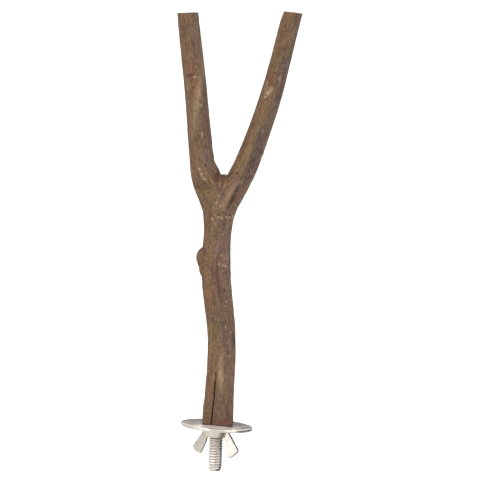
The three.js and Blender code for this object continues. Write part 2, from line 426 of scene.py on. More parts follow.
class Grain:
    """Where each point of the branch lies along and round the wood."""

    def __init__(self, points):
        self.points = points
        height = points[:, 2]
        parting = CROTCH_X + (height - CROTCH_Z) * PARTING_LEAN
        on_left = points[:, 0] < parting
        high = height > CROTCH_Z + 1
        stem_line = self.middle(height < CROTCH_Z - 4)
        left_line = self.middle(high & on_left)
        right_line = self.middle(high & ~on_left)
        self.right_share = ease(-4.0, 3.0, points[:, 0] - parting)
        self.limb_share = ease(FORK_LOW, FORK_HIGH, height)
        share = self.right_share[:, None]
        limb = left_line(height) * (1 - share) + right_line(height) * share
        lift = self.limb_share[:, None]
        self.centre = stem_line(height) * (1 - lift) + limb * lift
        away = points[:, :2] - self.centre
        self.pith = np.hypot(away[:, 0], away[:, 1])
        self.turn = np.arctan2(away[:, 0], -away[:, 1])
        self.height = height
        self.lines = {"stem": stem_line, "left": left_line, "right": right_line}
        rise = [(line(height + 2) - line(height - 2)) / 4 for line in (stem_line, left_line, right_line)]
        limb_rise = rise[1] * (1 - share) + rise[2] * share
        slope = rise[0] * (1 - lift) + limb_rise * lift
        axis = np.c_[slope, np.ones(len(height))]
        self.axis = axis / np.linalg.norm(axis, axis=1)[:, None]

    def middle(self, chosen):
        """The centre line through the chosen points, carried on straight past its ends."""
        height = self.points[chosen, 2]
        low, high = height.min() + 3, height.max() - 5
        levels = np.linspace(low, high, int((high - low) / 3))
        found = []
        for level in levels:
            near = chosen & (np.abs(self.points[:, 2] - level) < 1.5)
            ring = self.points[near, :2]
            found.append((ring.max(0) + ring.min(0)) / 2)
        found = np.array(found)
        slope_low = (found[3] - found[0]) / (levels[3] - levels[0])
        slope_high = (found[-1] - found[-4]) / (levels[-1] - levels[-4])
        levels = np.r_[low - 40, levels, high + 40]
        found = np.vstack([found[0] - slope_low * 40, found, found[-1] + slope_high * 40])
        return lambda at: np.c_[np.interp(at, levels, found[:, 0]), np.interp(at, levels, found[:, 1])]

    def coordinates(self, turn):
        return np.c_[GRAIN_RADIUS * np.sin(turn), -GRAIN_RADIUS * np.cos(turn), self.height]

    def front(self, x, z):
        """The point of the skin seen from the front at this place."""
        gap = np.hypot(self.points[:, 0] - x, self.points[:, 2] - z)
        near = np.where(gap < 0.6)[0]
        if not len(near):
            near = np.argsort(gap)[:6]
        return self.points[near[np.argmin(self.points[near, 1])]]

    def side(self, part, degrees, z):
        """The point of the skin at this angle round a part. 0 is the front and 90 the right."""
        centre = self.lines[part](np.array([z]))[0]
        away = self.points[:, :2] - centre
        level = np.abs(self.points[:, 2] - z) < 0.5
        if part != "stem":
            level &= (self.right_share > 0.5) == (part == "right")
        turn = np.arctan2(away[:, 0], -away[:, 1])
        gap = np.abs((turn - math.radians(degrees) + math.pi) % (2 * math.pi) - math.pi)
        return self.points[np.where(level, gap, 9).argmin()]

    def spot(self, place, tall, wide, lean=0.0, edge=2.0):
        """A soft-edged oval on the skin, 1 in its middle. tall and wide are half sizes."""
        away = self.points - place
        index = np.argmin((away**2).sum(1))
        turn = self.turn[index]
        axis = self.axis[index]
        outward = np.array([math.sin(turn), -math.cos(turn), 0])
        outward = outward - axis * (outward @ axis)
        outward = outward / np.linalg.norm(outward)
        sideways = away @ np.cross(axis, outward)
        inwards = away @ outward
        upwards = away @ axis
        sideways = sideways - upwards * lean
        size = (np.abs(sideways) / wide) ** edge + (np.abs(upwards) / tall) ** edge
        size = size + (np.abs(inwards) / (max(tall, wide) + 2.5)) ** 2
        return np.exp(-size)

    def seam(self, places, wide, edge=4):
        """A thin line over the skin through the given points, 1 on the line."""
        best = np.full(len(self.points), 99.0)
        for first, last in zip(places[:-1], places[1:]):
            along = last - first
            t = np.clip((self.points - first) @ along / (along @ along), 0, 1)
            gap = np.linalg.norm(self.points - first - t[:, None] * along, axis=1)
            best = np.minimum(best, gap)
        return np.exp(-((best / wide) ** edge))


def grain_round_knots(grain, turn, knots):
    """Turns the lengthwise lines aside round each knot."""
    for place, size in knots:
        index = np.argmin(((grain.points - place) ** 2).sum(1))
        start = grain.turn[index]
        gap = (turn - start + math.pi) % (2 * math.pi) - math.pi
        sideways = gap * GRAIN_RADIUS
        upwards = grain.height - place[2]
        same_side = np.exp(-((np.linalg.norm(grain.points - place, axis=1) / (size * 4)) ** 4))
        pull = size**2 / (sideways**2 + upwards**2 + 0.5 * size**2)
        turn = turn - gap * pull * 0.75 * same_side
    return turn


class Skin:
    """The branch's surface while it is carved: its relief and the masks that the finish reads."""

    def __init__(self, branch):
        self.grain = Grain(points_of(branch))
        count = len(self.grain.points)
        self.relief = np.full(count, PLUMP)
        self.dark = np.zeros(count)
        self.pale = np.zeros(count)
        self.red = np.zeros(count)

    def darken(self, mask):
        self.dark = np.maximum(self.dark, mask)

    def bleach(self, mask):
        self.pale = np.maximum(self.pale, mask)

    def redden(self, mask):
        self.red = np.maximum(self.red, mask)

    def front_spot(self, x, z, tall, wide, lean=0.0, edge=2.0):
        return self.grain.spot(self.grain.front(x, z), tall, wide, lean, edge)

    def front_seam(self, places, wide, edge=4):
        return self.grain.seam([self.grain.front(x, z) for x, z in places], wide, edge)


def find_knots(grain):
    """The knots' places and sizes, the burl first."""
    return [
        (grain.side("stem", *BURL), 3.6),
        (grain.front(4.1, 117.3), 1.0),
        (grain.front(-13.2, 109.6), 0.8),
        (grain.side("stem", 150, 58.0), 2.2),
        (grain.side("left", 168, 146.0), 1.5),
        (grain.side("right", 140, 172.0), 1.3),
        (grain.front(19.7, 164.5), 1.0),
    ]


def flute(skin, lines):
    """Flutes, ripples and shallow cracks that run with the grain, fainter in the crotch."""
    skin.relief += 0.10 * drawn_out(lines, 0.24, 0.07, 3)
    skin.relief += 0.13 * drawn_out(lines, 0.42, 0.022, 5)
    skin.relief += 0.05 * drawn_out(lines, 1.1, 0.06, 7)
    skin.relief -= 0.06 * np.maximum(0, drawn_out(lines, 2.0, 0.05, 9) - 0.25)
    skin.relief += 0.05 * drawn_out(lines, 0.9, 0.45, 11)
    skin.relief += 0.03 * drawn_out(lines, 1.9, 1.1, 13)
    crotch_gap = np.linalg.norm(skin.grain.points - np.array([CROTCH_X, 0, CROTCH_Z]), axis=1)
    skin.relief *= 1 - 0.75 * ease(9, 4, crotch_gap)


def leave_bark(skin, lines):
    """Thin islands of the inner bark that peeling left behind."""
    island = drawn_out(lines, 0.3, 0.075, 23) + 0.5 * drawn_out(lines, 0.8, 0.3, 25)
    bark = ease(0.12, 0.34, island)
    skin.relief += 0.10 * bark
    rim = np.exp(-(((island - 0.12) / 0.09) ** 2))
    skin.darken(0.14 * rim)
    return bark


def scatter_pits(skin, dice):
    """Small pits and raised flecks all over."""
    for _ in range(150):
        part = dice.choice(["stem", "stem", "left", "right"])
        level = dice.uniform(4, 112) if part == "stem" else dice.uniform(124, 186)
        place = skin.grain.side(part, dice.uniform(-180, 180), level)
        tall, wide = dice.uniform(0.35, 1.5), dice.uniform(0.22, 0.5)
        oval = skin.grain.spot(place, tall, wide, dice.normal(0, 0.12))
        if dice.random() < 0.6:
            skin.relief -= 0.22 * oval
            skin.darken(0.75 * oval)
        else:
            skin.relief += 0.05 * oval
            skin.bleach(0.8 * oval)


def hollow_knots(skin, knots):
    """A hollow with a raised collar at each knot, and the larger single pits."""
    for place, size in knots:
        hollow = skin.grain.spot(place, 0.55 * size, 0.5 * size)
        collar = np.maximum(skin.grain.spot(place, 1.25 * size, 1.1 * size) - hollow, 0)
        skin.relief += 0.22 * size * collar - 0.5 * size * hollow
        skin.darken(hollow)
        skin.redden(0.4 * collar)
    for x, z, tall, wide, deep in (
        (-3.8, 98.3, 0.6, 0.7, 0.35),
        (-0.9, 99.2, 0.5, 0.7, 0.3),
        (3.2, 105.3, 0.9, 0.6, 0.45),
        (-17.6, 155.8, 0.7, 0.6, 0.3),
        (-16.0, 151.0, 0.5, 0.4, 0.2),
        (23.2, 175.4, 0.8, 0.5, 0.25),
        (-9.5, 120.4, 0.8, 0.6, 0.2),
    ):
        pit = skin.front_spot(x, z, tall, wide)
        skin.relief -= deep * pit
        skin.darken(0.9 * pit)


def shape_burl(skin):
    """The burl's rings, its sharp upper shoulder, its pits and the slope below it."""
    grain = skin.grain
    away = np.linalg.norm((grain.points - grain.side("stem", *BURL)) * np.array([1, 0.9, 0.75]), axis=1)
    near = np.exp(-((away / 6.5) ** 4))
    skin.relief += 0.05 * np.cos(away * 2.6) * near * ease(1.0, 3.0, away)
    shoulder = grain.seam([grain.side("stem", degrees, 82.2) for degrees in (-130, -110, -92, -78)], 0.6)
    skin.relief -= 0.3 * shoulder
    skin.darken(0.7 * shoulder)
    skin.relief -= 0.55 * grain.spot(grain.side("stem", -92, 73.6), 2.2, 4.0)
    for degrees, z, tall in (
        (-72, 81.0, 0.7),
        (-96, 80.4, 0.9),
        (-62, 79.0, 0.5),
        (-80, 76.2, 0.6),
        (-66, 74.6, 0.5),
    ):
        pit = grain.spot(grain.side("stem", degrees, z), tall, 0.5)
        skin.relief -= 0.25 * pit
        skin.darken(0.7 * pit)


def thin_left_limb(skin):
    """Takes the left limb's inner side back, just above the crotch."""
    for place, tall, deep in (([-4.6, 0.5, 121.2], 3.0, 0.75), ([-5.8, 1.0, 126.5], 3.5, 0.45)):
        nearest = np.argmin(np.linalg.norm(skin.grain.points - place, axis=1))
        skin.relief -= deep * skin.grain.spot(skin.grain.points[nearest], tall, 4.5)


def split_foot(skin):
    """The long split that opened from the foot, and the hair crack above it."""
    split = skin.front_seam(((-3.15, -0.2), (-2.75, 6), (-2.55, 10), (-2.2, 15), (-2.1, 20.5)), 0.29)
    hair = skin.front_seam(((-2.1, 20), (-1.8, 22.5), (-1.85, 25.2)), 0.2)
    skin.relief -= 1.5 * split + 0.5 * hair
    skin.darken(np.maximum(1.3 * split, 0.9 * hair))


def open_checks(skin, dice):
    """Drying checks round the back and sides."""
    grain = skin.grain
    for part, degrees, low, high, deep in (
        ("stem", 165, 2, 44, 0.7),
        ("stem", -138, 60, 96, 0.4),
        ("stem", 118, 70, 104, 0.35),
        ("left", 120, 138, 170, 0.35),
        ("right", -150, 132, 176, 0.4),
    ):
        levels = np.linspace(low, high, 8)
        wander = dice.normal(0, 2.0, 8)
        check = grain.seam([grain.side(part, degrees + w, z) for w, z in zip(wander, levels)], 0.24)
        check *= ease(low, low + 6, grain.height) * ease(high, high - 8, grain.height)
        skin.relief -= deep * check
        skin.darken(check)


def fold_fork(skin, lines, swirl):
    """The groove, ridge and folds that run down out of the fork, and the ripples on its left."""
    broken = 0.75 + 0.5 * drawn_out(lines, 0.7, 0.35, 37)
    groove = skin.front_seam(((6.3, 111.2), (4.6, 107.8), (2.9, 104.4), (1.7, 101.6)), 1.0, 2) * broken
    ridge = skin.front_seam(((6.5, 113.4), (3.1, 111.3), (1.2, 108), (-0.7, 103.2)), 1.5, 2) * broken
    skin.relief += 0.14 * ridge - 0.45 * groove
    skin.darken(0.72 * groove)
    for x, z, tall in ((4.6, 108.4, 1.4), (3.6, 105.9, 1.1), (5.6, 110.4, 0.8), (2.4, 103.6, 0.7)):
        pit = skin.front_spot(x, z, tall, 0.6, lean=0.35)
        skin.relief -= 0.4 * pit
        skin.darken(0.95 * pit)
    skin.bleach(0.4 * ridge)
    hem = skin.front_seam(((-8.6, 95.6), (-6.5, 96.9), (-2.8, 98.4), (2.3, 97.8), (5, 96)), 0.55)
    skin.relief -= 0.22 * hem
    skin.darken(0.25 * hem)
    fold = skin.front_spot(-4.0, 115.0, 3.2, 2.4)
    skin.redden(fold)
    skin.darken(0.35 * fold)
    reach = np.linalg.norm(skin.grain.points - swirl, axis=1)
    ripple = np.cos(reach * 3.2) * np.exp(-((reach / 4.0) ** 4))
    skin.relief += 0.05 * ripple
    skin.darken(0.2 * np.maximum(-ripple, 0))


def shade_crotch(skin):
    """Darkens the lip of the crotch, and paints shade on the limbs' inner sides above it, where they face
    each other.
    """
    lip = ((-3.6, 117.4), (-2.6, 116.2), (-1.0, 115.8), (0.8, 116.3), (1.8, 117.6))
    skin.darken(0.75 * skin.front_seam(lip, 0.6))
    # Painted shade on the limbs' inner sides, fading out upwards.
    for part, degrees in (("left", 84), ("right", -84)):
        inner = skin.grain.seam([skin.grain.side(part, degrees, z) for z in range(119, 152, 4)], 0.8)
        skin.darken(0.7 * inner * ease(156, 124, skin.grain.height))


def shape_foot(skin):
    """The torn patch and step on the right, and the wider foot on the left."""
    patch = skin.grain.spot(skin.grain.side("stem", 76, 39.6), 3.0, 2.0, edge=3)
    skin.relief -= 0.38 * patch
    skin.darken(0.8 * patch)
    skin.relief += 0.22 * skin.grain.spot(skin.grain.side("stem", -80, 4.0), 6.3, 3.6, edge=6)


def wear_corner(grain):
    """How far the top corner of the right limb is worn away, sideways."""
    rim = grain.side("right", -90, 189.0)[0]
    near_rim = ease(rim + 3.2, rim, grain.points[:, 0]) * grain.right_share
    return 0.65 * ease(187.5, 193.0, grain.height) * near_rim


def scar_left_limb(skin):
    """The cut across the left limb with its raised lip, and the pale wear below it."""
    scar = skin.front_spot(-18.6, 161.6, 0.75, 2.6, edge=2.5)
    scar_top = skin.front_spot(-17.7, 163.1, 0.5, 1.5)
    lip = skin.front_spot(-17.1, 161.3, 0.6, 1.2)
    skin.relief += 0.2 * lip - 0.4 * scar - 0.25 * scar_top
    skin.redden(np.maximum(scar, scar_top))
    skin.darken(0.6 * scar)
    skin.bleach(lip)
    for x, z, tall in ((-14.4, 148.6, 0.5), (-13.6, 149.6, 0.4), (-12.9, 148.2, 0.4)):
        skin.bleach(skin.front_spot(x, z, tall, 0.4))
    skin.redden(0.8 * skin.grain.spot(skin.grain.side("left", -75, 136.0), 4.0, 1.0))
    skin.bleach(0.42 * skin.front_spot(-15.4, 149.0, 14.0, 1.3, lean=0.24))


def bruise_right_limb(skin, lines):
    """The bruise and the scrape on the right limb, and the flecks along its outer edge."""
    skin.redden(skin.front_spot(17.2, 161.0, 2.0, 1.0))
    scrape = skin.front_seam(((18.4, 157.6), (17.1, 155.5), (15.0, 152.8)), 0.8)
    scrape *= ease(-0.25, 0.3, drawn_out(lines, 1.3, 1.0, 29))
    skin.bleach(1.15 * scrape)
    skin.relief -= 0.12 * scrape
    edge_line = [skin.grain.side("right", 78, z) for z in range(124, 160, 5)]
    edge_flecks = skin.grain.seam(edge_line, 0.7) * ease(0.0, 0.4, drawn_out(lines, 1.0, 0.9, 31))
    skin.bleach(0.7 * edge_flecks)


def stain_stem(skin):
    """Long streaks, the reddish foot, and pale nicks on the stem and the fork."""
    streak = skin.front_seam(((-3.0, 78), (-2.0, 70), (-0.6, 59)), 0.7)
    skin.redden(0.55 * streak)
    skin.darken(0.3 * streak)
    skin.bleach(0.5 * skin.front_spot(0.2, 24.0, 5.0, 1.2))
    skin.redden(0.6 * skin.front_spot(3.6, 1.6, 1.8, 3.2))
    for x, z in NICKS:
        skin.bleach(skin.front_spot(x, z, 0.45, 0.5))
    for x, z, tall, lean in ((-6.2, 112.6, 1.6, -0.5), (-3.2, 112.4, 1.8, 0.0), (-1.2, 111.4, 1.4, 0.2)):
        skin.bleach(0.45 * skin.front_spot(x, z, tall, 0.35, lean=lean))


def saw_ends(skin, branch):
    """Clears the grain off the sawn ends and leaves a few saw lines. Returns the ends' mask."""
    height = skin.grain.height
    facing = normals_of(branch)[:, 2]
    cut = ease(0.75, 0.95, facing) * (height > 185) + ease(0.75, 0.95, -facing) * (height < 3)
    across, deep = skin.grain.points[:, 0], skin.grain.points[:, 1]
    saw = 0.03 * np.sin(across * 5.0 + 0.6 * np.sin(deep))
    skin.relief = skin.relief * (1 - cut) + saw * cut
    return cut


def seat_foot(points):
    """Saws the foot a little out of square, so that it sits on the tilted washer."""
    points[:, 2] = np.maximum(points[:, 2], -FOOT_DROP)
    bed = washer_height(points[:, 0], points[:, 1]) - SEAT_GAP
    points[:, 2] += ease(5.0, -FOOT_DROP, points[:, 2]) * (bed + FOOT_DROP)


def stain(branch, grain, lines, turn, dice):
    """Lays the washes on, and makes each part yellower on its left and pinker on its right."""
    wash = washes(grain, lines, dice)
    colour = branch.data.attributes.new("wash", "FLOAT_COLOR", "POINT")
    colour.data.foreach_set("color", np.c_[wash, np.ones(len(wash))].astype(np.float32).ravel())
    wander = 0.5 * drawn_out(lines, 0.3, 0.03, 17) + 0.25 * drawn_out(lines, 0.9, 0.12, 19)
    edge = math.radians(-6) * (1 - grain.limb_share)
    tone = np.tanh(3.0 * (np.sin(turn - edge) + wander))
    write_number(branch, "tone", 0.5 + 0.5 * tone)


def carve(branch):
    """Carves the relief, and leaves the masks that the wood's finish reads."""
    skin = Skin(branch)
    grain = skin.grain
    dice = np.random.default_rng(41)
    knots = find_knots(grain)
    swirl = grain.front(-9.5, 110.5)
    turn = grain_round_knots(grain, grain.turn, knots + [(swirl, 1.8)])
    lines = grain.coordinates(turn)

    flute(skin, lines)
    bark = leave_bark(skin, lines)
    scatter_pits(skin, dice)
    hollow_knots(skin, knots[1:])
    shape_burl(skin)
    thin_left_limb(skin)
    split_foot(skin)
    open_checks(skin, dice)
    fold_fork(skin, lines, swirl)
    shade_crotch(skin)
    shape_foot(skin)
    scar_left_limb(skin)
    bruise_right_limb(skin, lines)
    stain_stem(skin)
    cut = saw_ends(skin, branch)

    moved = grain.points + normals_of(branch) * skin.relief[:, None]
    moved[:, 0] += wear_corner(grain)
    seat_foot(moved)
    move_points(branch, moved)

    stain(branch, grain, lines, turn, dice)
    write_vector(branch, "grain", lines)
    write_number(branch, "pith", grain.pith)
    write_number(branch, "dark", np.clip(skin.dark, 0, 1.2))
    write_number(branch, "pale", np.clip(skin.pale, 0, 1.2))
    write_number(branch, "red", np.clip(skin.red, 0, 1))
    write_number(branch, "bark", bark)
    write_number(branch, "cut", cut)


def washes(grain, lines, dice):
    """Broad stains laid over one another, as factors on the plain wood's colour."""
    wash = np.ones((len(grain.points), 3))
    plain = np.array(srgb(*PLAIN_WOOD)[:3])
    ragged = 0.5 * drawn_out(lines, 0.9, 0.35, 33) + 0.35 * drawn_out(lines, 2.0, 0.9, 35)
    laid = [(grain.front(x, z), *rest) for x, z, *rest in WASHES]
    for _ in range(90):
        part = dice.choice(["stem", "stem", "left", "right"])
        level = dice.uniform(2, 112) if part == "stem" else dice.uniform(122, 190)
        place = grain.side(part, dice.uniform(95, 265), level)
        colour = WEATHERED_COLOURS[dice.integers(len(WEATHERED_COLOURS))]
        laid.append((place, dice.uniform(2.5, 9), dice.uniform(1.0, 3.2), colour, dice.uniform(0.4, 0.8)))
    for place, tall, wide, colour, strength in laid:
        oval = grain.spot(place, 1.25 * tall, 1.25 * wide, edge=2.6)
        share = 0.75 * strength * ease(0.1, 0.7, oval + 0.22 * ragged)[:, None]
        wash = wash * (1 - share) + np.array(srgb(*colour)[:3]) / plain * share
    return wash


def refine_along(piece, line, reach):
    """Halves the mesh squares close to a line, so that a fine split stays crisp."""
    edit(piece)
    first, last = np.array(line)
    along = last - first

    def close(face):
        middle = np.array(face.calc_center_median()) / MM
        t = np.clip((middle - first) @ along / (along @ along), 0, 1)
        return np.linalg.norm(middle - first - t * along) < reach

    select_faces(piece, close)
    bpy.ops.mesh.subdivide(number_cuts=1, smoothness=0)
    done()


def part_limb(branch, node, name):
    """Parts a limb from the stem at the CAD's own joint, leaving both sides open."""
    mesh = frame["nodes"][node].data
    low = min(mesh.polygons, key=lambda f: f.center.z if f.normal.z < -0.9 else 9)
    normal = -low.normal.copy()
    foot = low.center - normal * 0.15 * MM
    parting = (CROTCH_X + 8 * PARTING_LEAN) * MM
    is_left = foot.x < parting

    def on_limb(centre, slack):
        side = (centre.x < (CROTCH_X + (centre.z / MM - CROTCH_Z) * PARTING_LEAN) * MM) == is_left
        return side and centre.z > (CROTCH_Z + 1.5) * MM and (centre - foot).dot(normal) > slack

    edit(branch)
    select_faces(branch, lambda f: on_limb(f.calc_center_median(), -3 * MM))
    bpy.ops.mesh.bisect(plane_co=foot, plane_no=normal, use_fill=False)
    bpy.ops.mesh.select_all(action="DESELECT")
    select_faces(branch, lambda f: on_limb(f.calc_center_median(), 0))
    bpy.ops.mesh.separate(type="SELECTED")
    done()
    limb = [o for o in bpy.context.selected_objects if o is not branch][0]
    limb.name = name
    return limb


def close_holes(piece):
    edit(piece)
    bpy.ops.mesh.select_mode(type="EDGE")
    bpy.ops.mesh.select_non_manifold()
    bpy.ops.mesh.edge_face_add()
    done()


def shade_by_angle(piece, degrees):
    pick(piece)
    bpy.ops.object.shade_smooth_by_angle(angle=math.radians(degrees))


# ---------------------------------------------------------------- the metal parts
def thread_tooth(radius):
    """One tooth of the thread, from root to root: distance from the axis, and height."""
    root = radius - THREAD_DEPTH
    crest = THREAD_CREST * THREAD_PITCH
    return [
        (root, 0.0),
        (root, THREAD_ROOT * THREAD_PITCH),
        (radius - CREST_ROUND, THREAD_PITCH / 2 - crest / 2),
        (radius, THREAD_PITCH / 2),
        (radius - CREST_ROUND, THREAD_PITCH / 2 + crest / 2),
        (root, THREAD_PITCH),
    ]


def chamfer_tip(points, bottom, radius):
    """Turns the thread down towards the stud's tip."""
    reach = np.hypot(points[:, 0], points[:, 1])
    above = points[:, 2] - bottom
    levels = (0, TIP_FLAT_LENGTH, TIP_FLAT_LENGTH + TIP_CHAMFER)
    limit = np.interp(above, levels, (TIP_NARROW_RADIUS, TIP_SHOULDER_RADIUS, radius))
    limit = np.where(above < 0.01, TIP_FLAT_RADIUS, limit)
    points[:, :2] *= np.minimum(1, limit / np.maximum(reach, 0.01))[:, None]
    return reach


def threaded_stud():
    """The stud, its rolled thread one helix down to the chamfered tip."""
    low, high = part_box("hanger_bolt")
    radius = high.x / MM + THREAD_SWELL
    bottom = low.z / MM - TIP_LONGER
    turns = int((STUD_TOP - bottom) / THREAD_PITCH) + 3
    tooth = thread_tooth(radius)
    mesh = bpy.data.meshes.new("stud")
    start = bottom - 1.5 * THREAD_PITCH
    mesh.from_pydata(
        [(r * MM, 0, (start + z) * MM) for r, z in tooth],
        [(i, i + 1) for i in range(len(tooth) - 1)],
        [],
    )
    stud = bpy.data.objects.new("hanger_stud", mesh)
    bpy.context.scene.collection.objects.link(stud)
    finish_with(
        stud,
        "SCREW",
        angle=2 * math.pi,
        screw_offset=THREAD_PITCH * MM,
        iterations=turns,
        steps=48,
        render_steps=48,
        use_merge_vertices=True,
        merge_threshold=0.01 * MM,
    )
    edit(stud)
    bpy.ops.mesh.select_all(action="SELECT")
    bpy.ops.mesh.remove_doubles(threshold=0.005 * MM)
    for level, outward in ((STUD_TOP, 1), (bottom, -1)):
        bpy.ops.mesh.bisect(
            plane_co=(0, 0, level * MM),
            plane_no=(0, 0, outward),
            use_fill=True,
            clear_outer=True,
            threshold=0.001 * MM,
        )
        bpy.ops.mesh.select_all(action="SELECT")
    bpy.ops.mesh.normals_make_consistent(inside=False)
    done()
    points = points_of(stud)
    reach = chamfer_tip(points, bottom, radius)
    move_points(stud, points)
    # How deep each point lies in the thread, read by the painted shade in its roots.
    write_number(stud, "groove", np.clip((radius - 0.05 - reach) / THREAD_DEPTH, 0, 1))
    shade_by_angle(stud, 25)
    return stud


def washer_height(across, deep):
    """The height of the tilted washer's upper face."""
    to_the_right = across * math.tan(math.radians(WASHER_TILT))
    to_the_back = deep * math.tan(math.radians(WASHER_NOD))
    return WASHER_TOP - to_the_right + to_the_back


def rounded_washer():
    """The wide washer, its edges rounded by tumbling, sitting a little out of true."""
    low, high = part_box("washer")
    outer = high.x / MM
    put_down()
    bpy.ops.mesh.primitive_cylinder_add(
        vertices=192,
        radius=outer * MM,
        depth=(high.z - low.z),
        end_fill_type="NGON",
        location=(0, 0, (high.z + low.z) / 2),
    )
    washer = bpy.context.object
    washer.name = "wide_washer"
    settle(washer)
    edit(washer)
    select_faces(washer, lambda f: abs(f.normal.z) > 0.9)
    bpy.ops.mesh.inset(thickness=(outer - WASHER_HOLE_RADIUS) * MM)
    bpy.ops.mesh.bridge_edge_loops()
    done()
    edit(washer)
    select_faces(washer, lambda f: abs(f.normal.z) > 0.9)
    bpy.ops.mesh.inset(thickness=0.6 * MM, use_even_offset=True)
    done()
    finish_with(
        washer,
        "BEVEL",
        width=WASHER_EDGE * MM,
        segments=4,
        limit_method="ANGLE",
        angle_limit=math.radians(40),
    )
    points = points_of(washer)
    reach = np.hypot(points[:, 0], points[:, 1]) / outer
    points[:, 2] -= high.z / MM + WASHER_DROOP * reach**2
    points[:, 2] += WASHER_WAVE * reach * soft_noise(points * 0.09 + 20, 67)
    points[:, 2] += washer_height(points[:, 0], points[:, 1])
    move_points(washer, points)
    shade_by_angle(washer, 35)
    return washer


def cast_wing_nut():
    """The wing nut as cast: every corner and root rounded, the wings a little twisted."""
    nut = merged_copy("wing_nut", "cast_wing_nut")
    finish_with(nut, "REMESH", mode="VOXEL", voxel_size=NUT_STEP * MM)
    finish_with(nut, "SMOOTH", factor=0.5, iterations=12)
    low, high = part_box("wing_nut")
    wing = np.array([high.x - low.x, low.y - high.y]) / np.hypot(high.x - low.x, high.y - low.y)
    corners = []
    for side in (-1, 1):
        for out, down in WING_CORNERS:
            corners.append((side * out * wing[0], side * out * wing[1], high.z / MM - down, 2.2))
    soften(nut, corners, 60)
    points = points_of(nut)
    relief = 0.015 * soft_noise(points * 1.6 + 30, 61) + 0.03 * soft_noise(points * 0.5 + 30, 63)
    points = points + normals_of(nut) * relief[:, None]
    out = points[:, :2] @ wing
    middle = (high.z + low.z) / 2 / MM
    for side, twist in ((-1, LEFT_WING_TWIST), (1, RIGHT_WING_TWIST)):
        grip = ease(WING_START - 2.0, WING_START, out * side)
        points[:, 1] += grip * (points[:, 2] - middle) * math.tan(math.radians(twist))
    below = high.z / MM - points[:, 2]
    outwards, upwards = WING_BROAD_WAY
    to_midline = WING_MIDLINE - (out * outwards - below * upwards)
    towards_tip = ease(7.0, 14.0, out * upwards + below * outwards)
    grip = towards_tip * ease(WING_START - 1.0, WING_START + 1.0, out)
    spread = WING_SPREAD * grip * to_midline
    points[:, :2] -= np.outer(spread * outwards, wing)
    points[:, 2] -= spread * upwards
    points[:, 2] -= WING_DROP * grip
    move_points(nut, points)
    shade_by_angle(nut, 40)
    return nut


# ---------------------------------------------------------------- finishes
def new_group(name, inputs, outputs):
    group = bpy.data.node_groups.new(name, "ShaderNodeTree")
    for label, kind in inputs:
        group.interface.new_socket(label, in_out="INPUT", socket_type=kind)
    for label, kind in outputs:
        group.interface.new_socket(label, in_out="OUTPUT", socket_type=kind)
    start = group.nodes.new("NodeGroupInput")
    end = group.nodes.new("NodeGroupOutput")
    return group, start, end


def scaled(tree, vector, scale):
    node = tree.nodes.new("ShaderNodeVectorMath")
    node.operation = "MULTIPLY"
    node.inputs[1].default_value = scale
    tree.links.new(vector, node.inputs[0])
    return node.outputs[0]


def noise(tree, vector, scale, detail=3.0, roughness=0.55, distortion=0.0):
    node = tree.nodes.new("ShaderNodeTexNoise")
    node.inputs["Scale"].default_value = scale
    node.inputs["Detail"].default_value = detail
    node.inputs["Roughness"].default_value = roughness
    node.inputs["Distortion"].default_value = distortion
    tree.links.new(vector, node.inputs["Vector"])
    return node.outputs["Fac"]


def remap(tree, value, low, high, new_low=0.0, new_high=1.0):
    node = tree.nodes.new("ShaderNodeMapRange")
    node.interpolation_type = "SMOOTHSTEP"
    node.inputs["From Min"].default_value = low
    node.inputs["From Max"].default_value = high
    node.inputs["To Min"].default_value = new_low
    node.inputs["To Max"].default_value = new_high
    tree.links.new(value, node.inputs["Value"])
    return node.outputs["Result"]


def maths(tree, operation, first, second):
    node = tree.nodes.new("ShaderNodeMath")
    node.operation = operation
    for socket, value in zip(node.inputs, (first, second)):
        if isinstance(value, (int, float)):
            socket.default_value = value
        else:
            tree.links.new(value, socket)
    return node.outputs[0]


def colour_mix(tree, factor, first, second, blend="MIX"):
    node = tree.nodes.new("ShaderNodeMix")
    node.data_type = "RGBA"
    node.blend_type = blend
    for label, value in (("Factor", factor), ("A", first), ("B", second)):
        kind = "NodeSocketColor" if label != "Factor" else "NodeSocketFloatFactor"
        socket = [s for s in node.inputs if s.name == label and s.bl_idname == kind][0]
        if isinstance(value, (tuple, float, int)):
            socket.default_value = value
        else:
            tree.links.new(value, socket)
    return [s for s in node.outputs if s.bl_idname == "NodeSocketColor"][0]


def attribute(tree, name, output="Fac"):
    node = tree.nodes.new("ShaderNodeAttribute")
    node.attribute_name = name
    return node.outputs[output]


def srgb(red, green, blue):
    """A colour as a painter's chart gives it, 0 to 255, for a colour socket."""

    def linear(level):
        level = level / 255
        return level / 12.92 if level <= 0.04045 else ((level + 0.055) / 1.055) ** 2.4

    return (linear(red), linear(green), linear(blue), 1.0)


